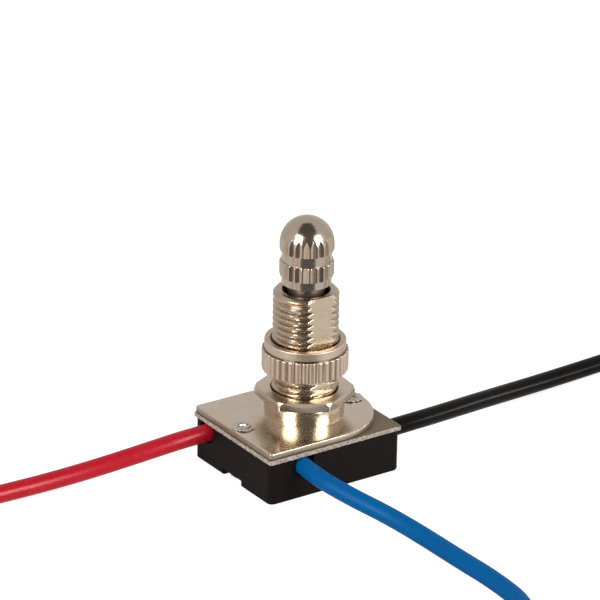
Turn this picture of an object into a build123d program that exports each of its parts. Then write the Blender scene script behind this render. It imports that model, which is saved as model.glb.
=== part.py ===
"""Rotary switch with a threaded bushing, a fluted knob and three leads.

Millimetres. X runs along the housing's long side, Y along its short side and Z up.
The origin is the middle of the housing's underside, on the surface that it stands on.
"""
import math
import os

from build123d import *

# Housing: a moulded box, open at the top
HOUSING_LENGTH = 22.4
HOUSING_WIDTH = 19.7
HOUSING_HEIGHT = 6.35
HOUSING_WALL = 1.3
HOUSING_FLOOR = 1.3
HOUSING_CORNER = 1.0
HOUSING_FOOT_ROUND = 0.3

# Insulating sheet and cover plate on top of the housing
SHEET_OVERHANG = 0.15
SHEET_THICKNESS = 0.68
SHEET_CORNER = 0.35
PLATE_INSET = 0.18
PLATE_THICKNESS = 0.95
PLATE_CORNER = 0.4

# Boss drawn up out of the cover plate, round the bushing
AXIS_OFFSET = 1.13
BOSS_RADIUS = 5.8
BOSS_HEIGHT = 2.47
BOSS_BASE_ROUND = 0.12
BOSS_TOP_ROUND = 0.45

# Rivets
RIVET_EDGE = 1.8
RIVET_SHANK_RADIUS = 1.15
RIVET_HOLE_RADIUS = 0.6
RIVET_HEAD_RADIUS = 1.72
RIVET_HEAD_HEIGHT = 0.32
RIVET_CLEARANCE = 0.03
COLUMN_WALL = 0.8
COLUMN_WIDTH = 5.6
NOTCH_WIDTH = 4.8
NOTCH_DEPTH = 0.95
NOTCH_CLEARANCE = 0.35

# Bushing: a 3/8 inch tube with 27 threads to the inch and one milled flat
THREAD_RADIUS = 4.7625
THREAD_PITCH = 25.4 / 27
THREAD_LEAD_IN = 0.1
FREE_THREAD = 7.55
BUSHING_CHAMFER = 0.45
FLAT_DISTANCE = 4.07
FLAT_FOOT = 0.15
MOUTH_RADIUS = 3.46
MOUTH_DEPTH = 11.0
NECK_RADIUS = 3.9
ROLL_RADIUS = 4.6
ROLL_HEIGHT = 0.6

# Hex nut on the boss
HEX_FLATS = 12.7
HEX_THICKNESS = 1.55
HEX_FOOT_RADIUS = 6.0
HEX_EDGE_RADIUS = 7.25
HEX_EDGE_HEIGHT = 0.9
HEX_CHAMFER_RADIUS = 6.95
HEX_CHAMFER_ANGLE = 45.0
HEX_TURN = 25.5
HEX_COUNTERSINK_RADIUS = 4.98

# Knurled finger nut
NUT_STAND_OFF = 2.9
NUT_RING_RADIUS = 5.9
NUT_RING_HEIGHT = 1.45
NUT_RADIUS = 6.25
NUT_KNURL_HEIGHT = 3.2
NUT_COUNTERSINK_RADIUS = 5.08
NUT_EDGE = 0.15
NUT_CROWN = 0.25
NUT_FLUTES = 36
NUT_FLUTE_TURN = 1.0
NUT_FLUTE_DEPTH = 0.3
NUT_FLUTE_WIDTH = 0.5
NUT_CLEARANCE = 0.02

# Knob
KNOB_LIFT = 1.12
KNOB_NECK_RADIUS = 3.58
KNOB_NECK_HEIGHT = 1.18
KNOB_RADIUS = 3.9
KNOB_EDGE = 0.12
KNOB_LOWER_BAND = 2.3
KNOB_GROOVE = 1.48
KNOB_UPPER_BAND = 1.09
KNOB_FLUTES = 22
KNOB_FLUTE_TURN = 5.3
KNOB_FLUTE_DEPTH = 0.28
KNOB_FLUTE_WIDTH = 1.0
KNOB_BORE_RADIUS = 2.0
KNOB_BORE_DEPTH = 5.5

# Spindle and what it turns
SPINDLE_RADIUS = 2.65
SPINDLE_CLEARANCE = 0.04
SQUARE_SIDE = 3.4
SQUARE_CLEARANCE = 0.02
RING_RADIUS = 3.7
RING_THICKNESS = 0.55
RING_GROOVE_RADIUS = 2.2
RING_GAP = 0.12
ROTOR_ROOM = 0.72
ROTOR_GAP = 0.15
BAND_THICKNESS = 0.4
BAND_HEIGHT = 2.0
BAND_FOOT = 0.8
BAND_SPAN = 270.0

# Detent leaf above the rotor
LEAF_WIDTH = 3.0
LEAF_THICKNESS = 0.3
LEAF_REACH = 0.6
LEAF_CLEARANCE = 0.1
LEAF_HEADROOM = 0.6
DETENTS = 4
DIMPLE_RADIUS = 0.4
DIMPLE_PLACE = 3.9
DIMPLE_CLEARANCE = 0.1
DIMPLE_DEPTH = 0.25

# Spring contacts with a wire barrel
CONTACT_THICKNESS = 0.35
CONTACT_CLEARANCE = 0.05
CONTACT_OVERHANG = 1.2
CONTACT_HEADROOM = 1.35
BARREL_RADIUS = 0.95
BARREL_LENGTH = 2.2
BARREL_GAP = 0.3
BARREL_END = 0.35

# Leads
LEAD_RADIUS = 1.31
CONDUCTOR_RADIUS = 0.51
LEAD_HEADROOM = 0.09
LEAD_INSIDE = 0.8
SLOT_RADIUS = 1.62
BARE_LENGTH = 12.7
RED_EXIT = 6.6
BLUE_EXIT = -5.4
BLACK_EXIT = -6.2
CORNER_SHARE = 0.45

# Heights, from the floor up
SHEET_BASE = HOUSING_HEIGHT
PLATE_BASE = SHEET_BASE + SHEET_THICKNESS
PLATE_TOP = PLATE_BASE + PLATE_THICKNESS
BOSS_TOP = PLATE_TOP + BOSS_HEIGHT
HEX_TOP = BOSS_TOP + HEX_THICKNESS
NUT_BASE = HEX_TOP + NUT_STAND_OFF
NUT_TOP = NUT_BASE + NUT_KNURL_HEIGHT + NUT_RING_HEIGHT
BUSHING_TOP = NUT_TOP + FREE_THREAD
BUSHING_FOOT = BOSS_TOP - PLATE_THICKNESS - ROLL_HEIGHT
KNOB_BASE = BUSHING_TOP + KNOB_LIFT
LEAF_TOP = HOUSING_HEIGHT - LEAF_HEADROOM
LEAF_BASE = LEAF_TOP - LEAF_THICKNESS
ROTOR_BASE = HOUSING_FLOOR + ROTOR_GAP
ROTOR_TOP = LEAF_BASE - DIMPLE_RADIUS - DIMPLE_CLEARANCE
LEAD_HEIGHT = HOUSING_HEIGHT - LEAD_RADIUS - LEAD_HEADROOM

# Plan sizes that follow
SHEET_LENGTH = HOUSING_LENGTH + 2 * SHEET_OVERHANG
SHEET_WIDTH = HOUSING_WIDTH + 2 * SHEET_OVERHANG
PLATE_LENGTH = SHEET_LENGTH - 2 * PLATE_INSET
PLATE_WIDTH = SHEET_WIDTH - 2 * PLATE_INSET
CAVITY_X = HOUSING_LENGTH / 2 - HOUSING_WALL
CAVITY_Y = HOUSING_WIDTH / 2 - HOUSING_WALL
RIVET_X = HOUSING_LENGTH / 2 - RIVET_EDGE
COLUMN_FACE = RIVET_X - RIVET_SHANK_RADIUS - COLUMN_WALL
PITCH_RADIUS = THREAD_RADIUS - 3 * math.sqrt(3) / 16 * THREAD_PITCH
NUT_BORE = PITCH_RADIUS + NUT_CLEARANCE
BAND_RADIUS = COLUMN_FACE - AXIS_OFFSET - ROTOR_ROOM
ROTOR_RADIUS = BAND_RADIUS - BAND_THICKNESS
LEAF_END = CAVITY_Y + LEAF_REACH

ON_AXIS = Pos(AXIS_OFFSET, 0, 0)


def turned(*outline):
    """A solid turned about the bushing's axis from (radius, height) points."""
    section = make_face(Plane.XZ * Polyline(*outline, close=True))
    return ON_AXIS * revolve(section, Axis.Z)


def at_rivets(shape):
    return [Pos(side * RIVET_X, 0, 0) * shape for side in (-1, 1)]


def upright(radius, low, high):
    """A round bar on the Z axis between two heights."""
    return Pos(0, 0, (low + high) / 2) * Cylinder(radius, high - low)


def block(low, high):
    """A box between two corners."""
    size = [b - a for a, b in zip(low, high)]
    middle = [(a + b) / 2 for a, b in zip(low, high)]
    return Pos(*middle) * Box(*size)


def lead_exits():
    """Each lead's colour, its place at the cavity wall and the direction into the cavity."""
    return {
        "red": ((-CAVITY_X, RED_EXIT), (1, 0)),
        "blue": ((BLUE_EXIT, -CAVITY_Y), (0, 1)),
        "black": ((CAVITY_X, BLACK_EXIT), (-1, 0)),
    }


def along(place, inward, distance, height=LEAD_HEIGHT):
    """The point on a lead's axis that lies a distance inside the cavity wall."""
    return Vector(place[0] + inward[0] * distance, place[1] + inward[1] * distance, height)


def bar(start, end, radius):
    """A round bar between two points."""
    run = end - start
    return extrude(Plane(origin=start, z_dir=run) * Circle(radius), run.length)


def lead_slot(place, inward):
    """The gap in the housing wall that a lead lies in, round below and open above."""
    outer = along(place, inward, -2 * HOUSING_WALL)
    inner = along(place, inward, HOUSING_WALL / 2)
    channel = bar(outer, inner, SLOT_RADIUS)
    across = (abs(inward[1]) * SLOT_RADIUS, abs(inward[0]) * SLOT_RADIUS)
    low = (min(outer.X, inner.X) - across[0], min(outer.Y, inner.Y) - across[1], LEAD_HEIGHT)
    high = (max(outer.X, inner.X) + across[0], max(outer.Y, inner.Y) + across[1], 2 * HOUSING_HEIGHT)
    return channel + block(low, high)


def make_housing():
    body = block(
        (-HOUSING_LENGTH / 2, -HOUSING_WIDTH / 2, 0),
        (HOUSING_LENGTH / 2, HOUSING_WIDTH / 2, HOUSING_HEIGHT),
    )
    body = fillet(body.edges().filter_by(Axis.Z), HOUSING_CORNER)
    body = fillet(body.faces().sort_by(Axis.Z)[0].edges(), HOUSING_FOOT_ROUND)
    cavity = block((-CAVITY_X, -CAVITY_Y, HOUSING_FLOOR), (CAVITY_X, CAVITY_Y, HOUSING_HEIGHT))
    for side in (-1, 1):
        ends = sorted((side * COLUMN_FACE, side * HOUSING_LENGTH / 2))
        cavity -= block(
            (ends[0], -COLUMN_WIDTH / 2, HOUSING_FLOOR), (ends[1], COLUMN_WIDTH / 2, HOUSING_HEIGHT)
        )
    body -= cavity
    for place, inward in lead_exits().values():
        body -= lead_slot(place, inward)
    reach = RIVET_HEAD_RADIUS + NOTCH_CLEARANCE
    for side in (-1, 1):
        ends = sorted((side * (RIVET_X - reach), side * HOUSING_LENGTH))
        body -= block((ends[0], -NOTCH_WIDTH / 2, -NOTCH_DEPTH), (ends[1], NOTCH_WIDTH / 2, NOTCH_DEPTH))
    for hole in at_rivets(upright(RIVET_SHANK_RADIUS + RIVET_CLEARANCE, 0, HOUSING_HEIGHT)):
        body -= hole
    half = LEAF_WIDTH / 2 + LEAF_CLEARANCE
    seat = LEAF_END + LEAF_CLEARANCE
    body -= block(
        (AXIS_OFFSET - half, -seat, LEAF_BASE), (AXIS_OFFSET + half, seat, 2 * HOUSING_HEIGHT)
    )
    return body


def make_insulator_sheet():
    sheet = extrude(RectangleRounded(SHEET_LENGTH, SHEET_WIDTH, SHEET_CORNER), SHEET_THICKNESS)
    sheet = Pos(0, 0, SHEET_BASE) * sheet
    for hole in at_rivets(upright(RIVET_SHANK_RADIUS + RIVET_CLEARANCE, 0, PLATE_TOP)):
        sheet -= hole
    return sheet - ON_AXIS * upright(RING_RADIUS, 0, PLATE_TOP)


def plate_outline():
    """A rectangle with two small corners and one full round end."""
    half = PLATE_WIDTH / 2
    left = -PLATE_LENGTH / 2
    middle = PLATE_LENGTH / 2 - half
    outline = Polyline((middle, half), (left, half), (left, -half), (middle, -half))
    end = ThreePointArc((middle, -half), (middle + half, 0), (middle, half))
    face = make_face(outline + end)
    square_corners = face.vertices().sort_by(Axis.X)[:2]
    return fillet(square_corners, PLATE_CORNER)


def make_cover_plate():
    """Flat sheet with the boss drawn up out of it, one thickness all over."""
    plate = Pos(0, 0, PLATE_BASE) * extrude(plate_outline(), PLATE_THICKNESS)
    inside = BOSS_RADIUS - PLATE_THICKNESS
    plate -= ON_AXIS * upright(inside, PLATE_BASE, PLATE_TOP)
    foot = BOSS_RADIUS + BOSS_BASE_ROUND
    ring = Polyline(
        (inside, PLATE_TOP - PLATE_THICKNESS / 2),
        (foot, PLATE_TOP - PLATE_THICKNESS / 2),
        (foot, PLATE_TOP),
    )
    base = CenterArc((foot, PLATE_TOP + BOSS_BASE_ROUND), BOSS_BASE_ROUND, 180, 90)
    shoulder = CenterArc((BOSS_RADIUS - BOSS_TOP_ROUND, BOSS_TOP - BOSS_TOP_ROUND), BOSS_TOP_ROUND, 0, 90)
    wall = Line((BOSS_RADIUS, PLATE_TOP + BOSS_BASE_ROUND), (BOSS_RADIUS, BOSS_TOP - BOSS_TOP_ROUND))
    top = Polyline(
        (BOSS_RADIUS - BOSS_TOP_ROUND, BOSS_TOP),
        (NECK_RADIUS + RIVET_CLEARANCE, BOSS_TOP),
        (NECK_RADIUS + RIVET_CLEARANCE, BOSS_TOP - PLATE_THICKNESS),
        (inside, BOSS_TOP - PLATE_THICKNESS),
        (inside, PLATE_TOP - PLATE_THICKNESS / 2),
    )
    section = make_face(Plane.XZ * (ring + base + wall + shoulder + top))
    plate += ON_AXIS * revolve(section, Axis.Z)
    for hole in at_rivets(upright(RIVET_SHANK_RADIUS + RIVET_CLEARANCE, 0, 2 * PLATE_TOP)):
        plate -= hole
    return plate


def make_rivets():
    """Two tubular rivets, rolled over on the plate and under the housing."""
    shank = upright(RIVET_SHANK_RADIUS, NOTCH_DEPTH, PLATE_TOP)
    head = upright(RIVET_HEAD_RADIUS, PLATE_TOP, PLATE_TOP + RIVET_HEAD_HEIGHT)
    head = fillet(head.edges().sort_by(Axis.Z)[-1], RIVET_HEAD_HEIGHT / 2)
    tail = upright(RIVET_HEAD_RADIUS, NOTCH_DEPTH - RIVET_HEAD_HEIGHT, NOTCH_DEPTH)
    tail = fillet(tail.edges().sort_by(Axis.Z)[0], RIVET_HEAD_HEIGHT / 2)
    rivet = shank + head + tail - upright(RIVET_HOLE_RADIUS, 0, 2 * PLATE_TOP)
    return Compound(children=at_rivets(rivet))


def make_bushing():
    """Plain at its outer diameter where the thread is free, at pitch diameter inside the nuts."""
    tip = THREAD_RADIUS - BUSHING_CHAMFER
    seat = BOSS_TOP - PLATE_THICKNESS
    bearing = SPINDLE_RADIUS + SPINDLE_CLEARANCE
    tube = turned(
        (bearing, BUSHING_FOOT),
        (ROLL_RADIUS, BUSHING_FOOT),
        (ROLL_RADIUS, seat),
        (NECK_RADIUS, seat),
        (NECK_RADIUS, BOSS_TOP),
        (PITCH_RADIUS, BOSS_TOP),
        (PITCH_RADIUS, HEX_TOP - THREAD_LEAD_IN),
        (THREAD_RADIUS, HEX_TOP - THREAD_LEAD_IN),
        (THREAD_RADIUS, NUT_BASE + THREAD_LEAD_IN),
        (PITCH_RADIUS, NUT_BASE + THREAD_LEAD_IN),
        (PITCH_RADIUS, NUT_TOP - THREAD_LEAD_IN),
        (THREAD_RADIUS, NUT_TOP - THREAD_LEAD_IN),
        (THREAD_RADIUS, BUSHING_TOP - BUSHING_CHAMFER),
        (tip, BUSHING_TOP),
        (MOUTH_RADIUS, BUSHING_TOP),
        (MOUTH_RADIUS, BUSHING_TOP - MOUTH_DEPTH),
        (bearing, BUSHING_TOP - MOUTH_DEPTH),
    )
    flat = block(
        (AXIS_OFFSET - THREAD_RADIUS, -2 * THREAD_RADIUS, HEX_TOP + FLAT_FOOT),
        (AXIS_OFFSET + THREAD_RADIUS, -FLAT_DISTANCE, BUSHING_TOP + BUSHING_CHAMFER),
    )
    return tube - flat


def make_hex_nut():
    """A thin punched nut: its corners are blunted, and chamfered a little above and below."""
    prism = Pos(0, 0, BOSS_TOP) * extrude(
        RegularPolygon(HEX_FLATS / 2, 6, major_radius=False, rotation=HEX_TURN), HEX_THICKNESS
    )
    fall = (HEX_EDGE_RADIUS - HEX_CHAMFER_RADIUS) * math.tan(math.radians(HEX_CHAMFER_ANGLE))
    sink = HEX_COUNTERSINK_RADIUS - NUT_BORE
    envelope = turned(
        (NUT_BORE, BOSS_TOP),
        (HEX_FOOT_RADIUS, BOSS_TOP),
        (HEX_EDGE_RADIUS, HEX_TOP - fall - HEX_EDGE_HEIGHT),
        (HEX_EDGE_RADIUS, HEX_TOP - fall),
        (HEX_CHAMFER_RADIUS, HEX_TOP),
        (HEX_COUNTERSINK_RADIUS, HEX_TOP),
        (NUT_BORE, HEX_TOP - sink),
    )
    return (ON_AXIS * prism) & envelope


def make_knurled_nut():
    sink = NUT_COUNTERSINK_RADIUS - NUT_BORE
    knurl_top = NUT_TOP - NUT_RING_HEIGHT
    nut = turned(
        (NUT_BORE, NUT_BASE + sink),
        (NUT_COUNTERSINK_RADIUS, NUT_BASE),
        (NUT_RADIUS - NUT_EDGE, NUT_BASE),
        (NUT_RADIUS, NUT_BASE + NUT_EDGE),
        (NUT_RADIUS, knurl_top - NUT_CROWN),
        (NUT_RADIUS - NUT_CROWN, knurl_top),
        (NUT_RING_RADIUS, knurl_top),
        (NUT_RING_RADIUS, NUT_TOP - NUT_EDGE),
        (NUT_RING_RADIUS - NUT_EDGE, NUT_TOP),
        (NUT_COUNTERSINK_RADIUS, NUT_TOP),
        (NUT_BORE, NUT_TOP - sink),
    )
    root = NUT_RADIUS - NUT_FLUTE_DEPTH
    mouth = NUT_RADIUS + NUT_FLUTE_DEPTH
    flute = extrude(
        make_face(Polyline((root, 0), (mouth, NUT_FLUTE_WIDTH), (mouth, -NUT_FLUTE_WIDTH), close=True)),
        NUT_KNURL_HEIGHT + 2 * NUT_EDGE,
    )
    turns = PolarLocations(0, NUT_FLUTES, start_angle=NUT_FLUTE_TURN)
    return nut - [ON_AXIS * Pos(0, 0, NUT_BASE - NUT_EDGE) * cut for cut in turns * flute]


def make_knob():
    """Two bands of sharp flutes with a groove between them, under a round dome."""
    lower = KNOB_BASE + KNOB_NECK_HEIGHT
    groove = lower + KNOB_LOWER_BAND
    upper = groove + KNOB_GROOVE
    shoulder = upper + KNOB_UPPER_BAND
    step = KNOB_RADIUS - KNOB_EDGE
    sides = Polyline(
        (0, shoulder + KNOB_RADIUS),
        (0, KNOB_BASE + KNOB_BORE_DEPTH),
        (KNOB_BORE_RADIUS, KNOB_BASE + KNOB_BORE_DEPTH),
        (KNOB_BORE_RADIUS, KNOB_BASE),
        (KNOB_NECK_RADIUS, KNOB_BASE),
        (KNOB_NECK_RADIUS, lower),
        (step, lower),
        (KNOB_RADIUS, lower + KNOB_EDGE),
        (KNOB_RADIUS, groove - KNOB_EDGE),
        (step, groove),
        (KNOB_NECK_RADIUS, groove),
        (KNOB_NECK_RADIUS, upper),
        (step, upper),
        (KNOB_RADIUS, upper + KNOB_EDGE),
        (KNOB_RADIUS, shoulder),
    )
    dome = CenterArc((0, shoulder), KNOB_RADIUS, 0, 90)
    knob = ON_AXIS * revolve(make_face(Plane.XZ * (sides + dome)), Axis.Z)
    root = KNOB_RADIUS - KNOB_FLUTE_DEPTH
    mouth = KNOB_RADIUS + KNOB_FLUTE_DEPTH
    flute = extrude(
        make_face(Polyline((root, 0), (mouth, KNOB_FLUTE_WIDTH), (mouth, -KNOB_FLUTE_WIDTH), close=True)),
        shoulder + KNOB_RADIUS - KNOB_BASE,
    )
    turns = PolarLocations(0, KNOB_FLUTES, start_angle=KNOB_FLUTE_TURN)
    return knob - [ON_AXIS * Pos(0, 0, KNOB_BASE) * cut for cut in turns * flute]


def make_spindle():
    """Pressed into the knob above, squared for the rotor below and grooved for its ring."""
    ring_top = BUSHING_FOOT - RING_GAP
    ring_base = ring_top - RING_THICKNESS
    shaft = turned(
        (0, ROTOR_TOP),
        (SPINDLE_RADIUS, ROTOR_TOP),
        (SPINDLE_RADIUS, ring_base),
        (RING_GROOVE_RADIUS, ring_base),
        (RING_GROOVE_RADIUS, ring_top),
        (SPINDLE_RADIUS, ring_top),
        (SPINDLE_RADIUS, KNOB_BASE),
        (KNOB_BORE_RADIUS, KNOB_BASE),
        (KNOB_BORE_RADIUS, KNOB_BASE + KNOB_BORE_DEPTH),
        (0, KNOB_BASE + KNOB_BORE_DEPTH),
    )
    half = SQUARE_SIDE / 2
    return shaft + ON_AXIS * block((-half, -half, ROTOR_BASE), (half, half, ROTOR_TOP))


def make_retaining_ring():
    """Open ring that snaps into the spindle's groove."""
    ring_top = BUSHING_FOOT - RING_GAP
    ring_base = ring_top - RING_THICKNESS
    ring = upright(RING_RADIUS, ring_base, ring_top) - upright(RING_GROOVE_RADIUS, ring_base, ring_top)
    gap = block((0, -RING_GROOVE_RADIUS / 2, ring_base), (2 * RING_RADIUS, RING_GROOVE_RADIUS / 2, ring_top))
    return ON_AXIS * (ring - gap)


def make_rotor():
    """Moulded drum with a square hole and a detent notch every quarter turn."""
    drum = upright(ROTOR_RADIUS, ROTOR_BASE, ROTOR_TOP)
    half = SQUARE_SIDE / 2 + SQUARE_CLEARANCE
    drum -= block((-half, -half, 0), (half, half, HOUSING_HEIGHT))
    height = ROTOR_TOP + DIMPLE_RADIUS - DIMPLE_DEPTH
    start = Vector(half, 0, height)
    notch = bar(start, Vector(2 * ROTOR_RADIUS, 0, height), DIMPLE_RADIUS + DIMPLE_CLEARANCE)
    drum -= [cut for cut in PolarLocations(0, DETENTS) * notch]
    return ON_AXIS * drum


def make_rotor_contact():
    """Brass band round the drum, open over a quarter of its edge."""
    low = ROTOR_BASE + BAND_FOOT
    high = low + BAND_HEIGHT
    ring = Plane.XY.offset(low) * (Circle(BAND_RADIUS) - Circle(ROTOR_RADIUS))
    band = extrude(ring, high - low)
    wedge = Plane.XY.offset(low) * make_face(
        Line((0, 0), (2 * BAND_RADIUS, 0))
        + CenterArc((0, 0), 2 * BAND_RADIUS, 0, BAND_SPAN - 360)
        + Line(Vector(2 * BAND_RADIUS, 0).rotate(Axis.Z, BAND_SPAN), (0, 0))
    )
    gap = Rot(0, 0, -BAND_SPAN / 2) * extrude(wedge, high - low)
    return ON_AXIS * (band - gap)


def make_detent_spring():
    """Leaf across the housing, drawn between two clicks, with its dimples just clear of the rotor."""
    leaf = block((-LEAF_WIDTH / 2, -LEAF_END, LEAF_BASE), (LEAF_WIDTH / 2, LEAF_END, LEAF_TOP))
    window = SPINDLE_RADIUS + LEAF_CLEARANCE
    collar = upright(window + LEAF_WIDTH / 4, LEAF_BASE, LEAF_TOP)
    leaf = leaf + collar - upright(window, LEAF_BASE, LEAF_TOP)
    dome = Sphere(DIMPLE_RADIUS, arc_size2=0)
    for side in (-1, 1):
        leaf += Pos(0, side * DIMPLE_PLACE, LEAF_BASE) * dome
    return ON_AXIS * leaf


def standing_strip(start, end, high):
    """An upright strip on the housing's floor between two points in plan."""
    run = end - start
    strip = block(
        (-CONTACT_THICKNESS / 2, -CONTACT_THICKNESS / 2, HOUSING_FLOOR),
        (run.length + CONTACT_THICKNESS / 2, CONTACT_THICKNESS / 2, high),
    )
    turn = math.degrees(math.atan2(run.Y, run.X))
    return Pos(start.X, start.Y, 0) * Rot(0, 0, turn) * strip


def make_contact(place, inward, side):
    """Wire barrel with a strip that runs on to touch the rotor's band from one side."""
    barrel_start = along(place, inward, LEAD_INSIDE + BARREL_GAP)
    barrel_end = along(place, inward, LEAD_INSIDE + BARREL_GAP + BARREL_LENGTH)
    corner = along(place, inward, LEAD_INSIDE + BARREL_GAP + BARREL_LENGTH + BARREL_END)
    axis = Vector(AXIS_OFFSET, 0, LEAD_HEIGHT)
    to_axis = axis - corner
    touch = BAND_RADIUS + CONTACT_CLEARANCE + CONTACT_THICKNESS / 2
    turn = math.atan2(to_axis.Y, to_axis.X) + side * math.asin(touch / to_axis.length)
    reach = math.sqrt(to_axis.length**2 - touch**2) + CONTACT_OVERHANG
    blade_end = corner + Vector(math.cos(turn), math.sin(turn), 0) * reach
    foot = standing_strip(barrel_start, corner, LEAD_HEIGHT - CONDUCTOR_RADIUS - CONTACT_THICKNESS / 2)
    blade = standing_strip(corner, blade_end, HOUSING_HEIGHT - CONTACT_HEADROOM)
    barrel = bar(barrel_start, barrel_end, BARREL_RADIUS)
    return foot + blade + barrel - bar(barrel_start, barrel_end, CONDUCTOR_RADIUS)


def make_inner_end(place, inward):
    """Stripped conductor from the lead into its barrel."""
    start = along(place, inward, LEAD_INSIDE)
    end = along(place, inward, LEAD_INSIDE + BARREL_GAP + BARREL_LENGTH)
    return bar(start, end, CONDUCTOR_RADIUS)


# Lead routes: out of the housing, down to the floor and round in a loose hook
FLOOR_LINE = 1.32
RED_ROUTE = [
    (-14.5, 6.7, 4.9),
    (-20.5, 7.8, 3.9),
    (-27.5, 9.7, 2.4),
    (-35.0, 11.0, 1.5),
    (-43.0, 11.6, FLOOR_LINE),
    (-51.3, 12.0, FLOOR_LINE),
    (-59.6, 12.7, FLOOR_LINE),
    (-68.0, 13.0, FLOOR_LINE),
    (-76.6, 12.4, FLOOR_LINE),
    (-84.7, 9.6, FLOOR_LINE),
    (-90.7, 3.6, FLOOR_LINE),
    (-93.0, -4.6, FLOOR_LINE),
    (-90.9, -12.8, FLOOR_LINE),
    (-84.8, -18.7, FLOOR_LINE),
    (-76.5, -20.6, FLOOR_LINE),
    (-68.4, -18.0, FLOOR_LINE),
    (-63.0, -11.6, FLOOR_LINE),
]
BLUE_ROUTE = [
    (-6.0, -13.5, 4.9),
    (-4.4, -19.3, 3.9),
    (-1.5, -24.8, 2.4),
    (0.0, -31.5, 1.5),
    (0.3, -39.0, FLOOR_LINE),
    (0.6, -47.0, FLOOR_LINE),
    (-0.1, -55.0, FLOOR_LINE),
    (-4.6, -62.0, FLOOR_LINE),
    (-12.2, -65.6, FLOOR_LINE),
    (-20.7, -64.6, FLOOR_LINE),
    (-29.4, -61.4, FLOOR_LINE),
    (-38.0, -57.7, FLOOR_LINE),
    (-46.4, -53.6, FLOOR_LINE),
    (-54.6, -49.3, FLOOR_LINE),
    (-62.6, -44.9, FLOOR_LINE),
    (-70.4, -40.3, FLOOR_LINE),
    (-75.2, -36.9, FLOOR_LINE),
]
BLACK_ROUTE = [
    (14.6, -5.9, 4.85),
    (21.5, -4.6, 4.2),
    (28.5, -2.9, 3.4),
    (35.5, -1.1, 2.5),
    (43.0, 0.4, 1.75),
    (50.8, 1.4, 1.4),
    (58.9, 2.1, FLOOR_LINE),
    (67.2, 2.0, FLOOR_LINE),
    (75.5, -0.3, FLOOR_LINE),
    (81.9, -5.8, FLOOR_LINE),
    (85.2, -13.6, FLOOR_LINE),
    (84.6, -22.0, FLOOR_LINE),
    (80.2, -29.2, FLOOR_LINE),
    (73.0, -33.7, FLOOR_LINE),
    (64.6, -35.0, FLOOR_LINE),
    (56.2, -34.6, FLOOR_LINE),
    (47.9, -33.6, FLOOR_LINE),
]


def corner_radii(points):
    """The largest arc that each corner's two runs leave room for."""
    runs = [Vector(*b) - Vector(*a) for a, b in zip(points, points[1:])]
    radii = []
    for before, after in zip(runs, runs[1:]):
        half_turn = math.radians(before.get_angle(after)) / 2
        radii.append(CORNER_SHARE * min(before.length, after.length) / math.tan(half_turn))
    return radii


def make_lead(name, start, route):
    """A tube along straight runs and tangent arcs, and the stripped end that follows it."""
    points = [tuple(start)] + route
    radii = corner_radii(points)
    path = FilletPolyline(*points, radius=radii)
    tube = sweep(Plane(origin=path @ 0, z_dir=path % 0) * Circle(LEAD_RADIUS), path=path)
    tip = path @ 1
    bare_end = bar(tip, tip + (path % 1) * BARE_LENGTH, CONDUCTOR_RADIUS)
    share = tube.volume / (math.pi * LEAD_RADIUS**2 * path.length)
    print(f"lead_{name}: length {path.length:.1f}, volume share {share:.4f}, radii", end=" ")
    print([round(radius, 1) for radius in radii])
    return tube, bare_end


def main():
    nodes = {
        "housing": make_housing(),
        "insulator_sheet": make_insulator_sheet(),
        "cover_plate": make_cover_plate(),
        "rivets": make_rivets(),
        "bushing": make_bushing(),
        "hex_nut": make_hex_nut(),
        "knurled_nut": make_knurled_nut(),
        "knob": make_knob(),
        "spindle": make_spindle(),
        "retaining_ring": make_retaining_ring(),
        "rotor": make_rotor(),
        "rotor_contact": make_rotor_contact(),
        "detent_spring": make_detent_spring(),
    }
    routes = {"red": RED_ROUTE, "blue": BLUE_ROUTE, "black": BLACK_ROUTE}
    blade_sides = {"red": 1, "blue": -1, "black": -1}
    for name, (place, inward) in lead_exits().items():
        nodes[f"contact_{name}"] = make_contact(place, inward, blade_sides[name])
        nodes[f"inner_end_{name}"] = make_inner_end(place, inward)
        lead, bare_end = make_lead(name, along(place, inward, LEAD_INSIDE), routes[name])
        nodes[f"lead_{name}"] = lead
        nodes[f"bare_end_{name}"] = bare_end
    os.makedirs("parts", exist_ok=True)
    for name, shape in nodes.items():
        export_step(shape, f"parts/{name}.step")


main()
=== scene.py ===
"""Looks of the rotary switch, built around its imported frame."""

import math

import bmesh
import bpy
from mathutils import Matrix, Vector, noise


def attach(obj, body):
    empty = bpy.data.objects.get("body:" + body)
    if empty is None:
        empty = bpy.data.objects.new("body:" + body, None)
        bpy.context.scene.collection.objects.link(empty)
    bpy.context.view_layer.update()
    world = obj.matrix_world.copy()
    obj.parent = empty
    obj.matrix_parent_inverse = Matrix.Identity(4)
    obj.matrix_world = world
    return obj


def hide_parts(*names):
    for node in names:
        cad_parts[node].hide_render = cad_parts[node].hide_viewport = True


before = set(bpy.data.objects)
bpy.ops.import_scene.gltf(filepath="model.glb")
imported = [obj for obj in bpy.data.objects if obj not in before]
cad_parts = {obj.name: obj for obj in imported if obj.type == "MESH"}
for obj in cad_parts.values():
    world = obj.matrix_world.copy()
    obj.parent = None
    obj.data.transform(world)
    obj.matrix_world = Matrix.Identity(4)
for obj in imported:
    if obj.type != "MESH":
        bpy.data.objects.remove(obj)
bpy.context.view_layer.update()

MM = 0.001
FULL_TURN = 2 * math.pi

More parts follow.
